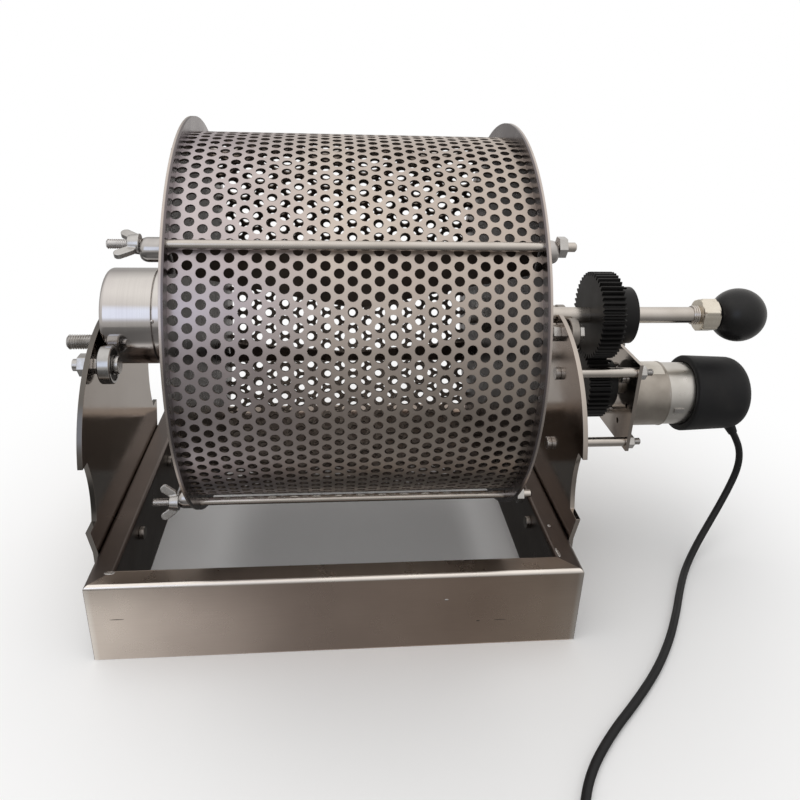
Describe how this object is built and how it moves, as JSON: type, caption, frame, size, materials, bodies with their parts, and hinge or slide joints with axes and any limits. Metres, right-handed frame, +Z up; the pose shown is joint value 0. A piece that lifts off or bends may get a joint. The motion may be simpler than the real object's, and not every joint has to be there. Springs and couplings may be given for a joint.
{
  "type": "electric drum roaster",
  "caption": "Perforated drum on ball-bearing rollers above an open steel base, turned by a geared motor through spur gears, with tie rods, wing nuts and a ball knob.",
  "frame": {"origin": "middle of the roaster's length and width, on the surface that its base stands on", "axes": "+X along the drum's axis to the motor and the ball knob, -Y to the front, +Z up"},
  "size_m": [0.3834, 0.3882, 0.2433],
  "materials": {
    "frame_steel": "brushed stainless sheet with a warm tint",
    "upright_steel": "polished stainless plate, warm reflections",
    "drum_steel": "perforated stainless sheet, satin",
    "polished_steel": "polished stainless",
    "zinc_hardware": "bright zinc plate",
    "bearing_steel": "ground bearing steel",
    "motor_metal": "plain plated steel",
    "black_plastic": "black moulded plastic",
    "black_rubber": "black rubber, satin",
    "tie_strap": "black woven strap"
  },
  "bodies": {
    "frame": {"rail_front": "frame_steel", "rail_back": "frame_steel", "rail_left": "frame_steel", "rail_right": "frame_steel", "upright_left": "upright_steel", "upright_right": "upright_steel", "motor_bracket": "upright_steel", "frame_screws": "zinc_hardware", "frame_nuts": "zinc_hardware", "stop_bolt": "zinc_hardware", "stop_bolt_nut": "zinc_hardware", "left_roller_bolts": "zinc_hardware", "left_roller_nuts": "zinc_hardware", "left_roller_spacers": "zinc_hardware", "right_roller_bolts": "zinc_hardware", "right_roller_nuts": "zinc_hardware", "right_roller_spacers": "zinc_hardware", "standoffs": "zinc_hardware", "standoff_screws": "zinc_hardware", "standoff_studs": "zinc_hardware", "standoff_nuts": "zinc_hardware", "motor_screws": "zinc_hardware", "plug_barrel": "zinc_hardware", "left_inner_rings": "bearing_steel", "right_inner_rings": "bearing_steel", "gearbox": "motor_metal", "motor_can": "motor_metal", "plug_grip": "black_plastic", "motor_cap": "black_rubber", "cord_grommet": "black_rubber", "cord_run": "black_rubber", "cord_coil": "black_rubber", "cord_tie": "tie_strap"},
    "drum": {"drum_shell": "drum_steel", "mixing_vanes": "drum_steel", "end_plate_left": "drum_steel", "end_plate_right": "drum_steel", "tie_rods": "polished_steel", "left_rod_bushes": "zinc_hardware", "right_rod_bushes": "zinc_hardware", "rod_nuts": "zinc_hardware", "neck_collar": "polished_steel", "neck_cup": "polished_steel", "drum_shaft": "polished_steel", "hub_nut": "zinc_hardware", "drum_gear": "black_plastic", "drum_gear_screw": "zinc_hardware", "lock_nut": "zinc_hardware", "ball_knob": "black_plastic"},
    "pinion": {"pinion": "black_plastic", "pinion_screw": "zinc_hardware", "motor_shaft": "polished_steel"},
    "left_front_roller": {"roller_left_front": "bearing_steel"},
    "left_back_roller": {"roller_left_back": "bearing_steel"},
    "right_front_roller": {"roller_right_front": "bearing_steel"},
    "right_back_roller": {"roller_right_back": "bearing_steel"},
    "wing_nut_1": {"wing_nut_1": "zinc_hardware"},
    "wing_nut_2": {"wing_nut_2": "zinc_hardware"},
    "wing_nut_3": {"wing_nut_3": "zinc_hardware"},
    "wing_nut_4": {"wing_nut_4": "zinc_hardware"}
  },
  "joints": [
    {"name": "drum_spin", "type": "hinge", "parent": "frame", "child": "drum", "pos_m": [-0.04121, 0, 0.1433], "axis": [1, 0, 0], "continuous": true},
    {"name": "pinion_spin", "type": "hinge", "parent": "frame", "child": "pinion", "pos_m": [0.09524, 0, 0.1018], "axis": [1, 0, 0], "continuous": true},
    {"name": "left_front_roller_spin", "type": "hinge", "parent": "frame", "child": "left_front_roller", "pos_m": [-0.16121, -0.03191, 0.12942], "axis": [1, 0, 0], "continuous": true},
    {"name": "left_back_roller_spin", "type": "hinge", "parent": "frame", "child": "left_back_roller", "pos_m": [-0.16121, 0.03191, 0.12942], "axis": [1, 0, 0], "continuous": true},
    {"name": "right_front_roller_spin", "type": "hinge", "parent": "frame", "child": "right_front_roller", "pos_m": [0.07679, -0.01124, 0.13717], "axis": [1, 0, 0], "continuous": true},
    {"name": "right_back_roller_spin", "type": "hinge", "parent": "frame", "child": "right_back_roller", "pos_m": [0.07679, 0.01124, 0.13717], "axis": [1, 0, 0], "continuous": true},
    {"name": "wing_nut_1_turn", "type": "hinge", "parent": "drum", "child": "wing_nut_1", "pos_m": [-0.13021, -0.07667, 0.20107], "axis": [1, 0, 0], "continuous": true},
    {"name": "wing_nut_2_turn", "type": "hinge", "parent": "drum", "child": "wing_nut_2", "pos_m": [-0.13021, -0.05777, 0.06663], "axis": [1, 0, 0], "continuous": true},
    {"name": "wing_nut_3_turn", "type": "hinge", "parent": "drum", "child": "wing_nut_3", "pos_m": [-0.13021, 0.07667, 0.08553], "axis": [1, 0, 0], "continuous": true},
    {"name": "wing_nut_4_turn", "type": "hinge", "parent": "drum", "child": "wing_nut_4", "pos_m": [-0.13021, 0.05777, 0.21997], "axis": [1, 0, 0], "continuous": true}
  ],
  "couplings": [
    {"joint": "pinion_spin", "follows": "drum_spin", "ratio": -1.2432},
    {"joint": "left_front_roller_spin", "follows": "drum_spin", "ratio": -2.6316},
    {"joint": "left_back_roller_spin", "follows": "drum_spin", "ratio": -2.6316},
    {"joint": "right_front_roller_spin", "follows": "drum_spin", "ratio": -0.5625},
    {"joint": "right_back_roller_spin", "follows": "drum_spin", "ratio": -0.5625}
  ]
}
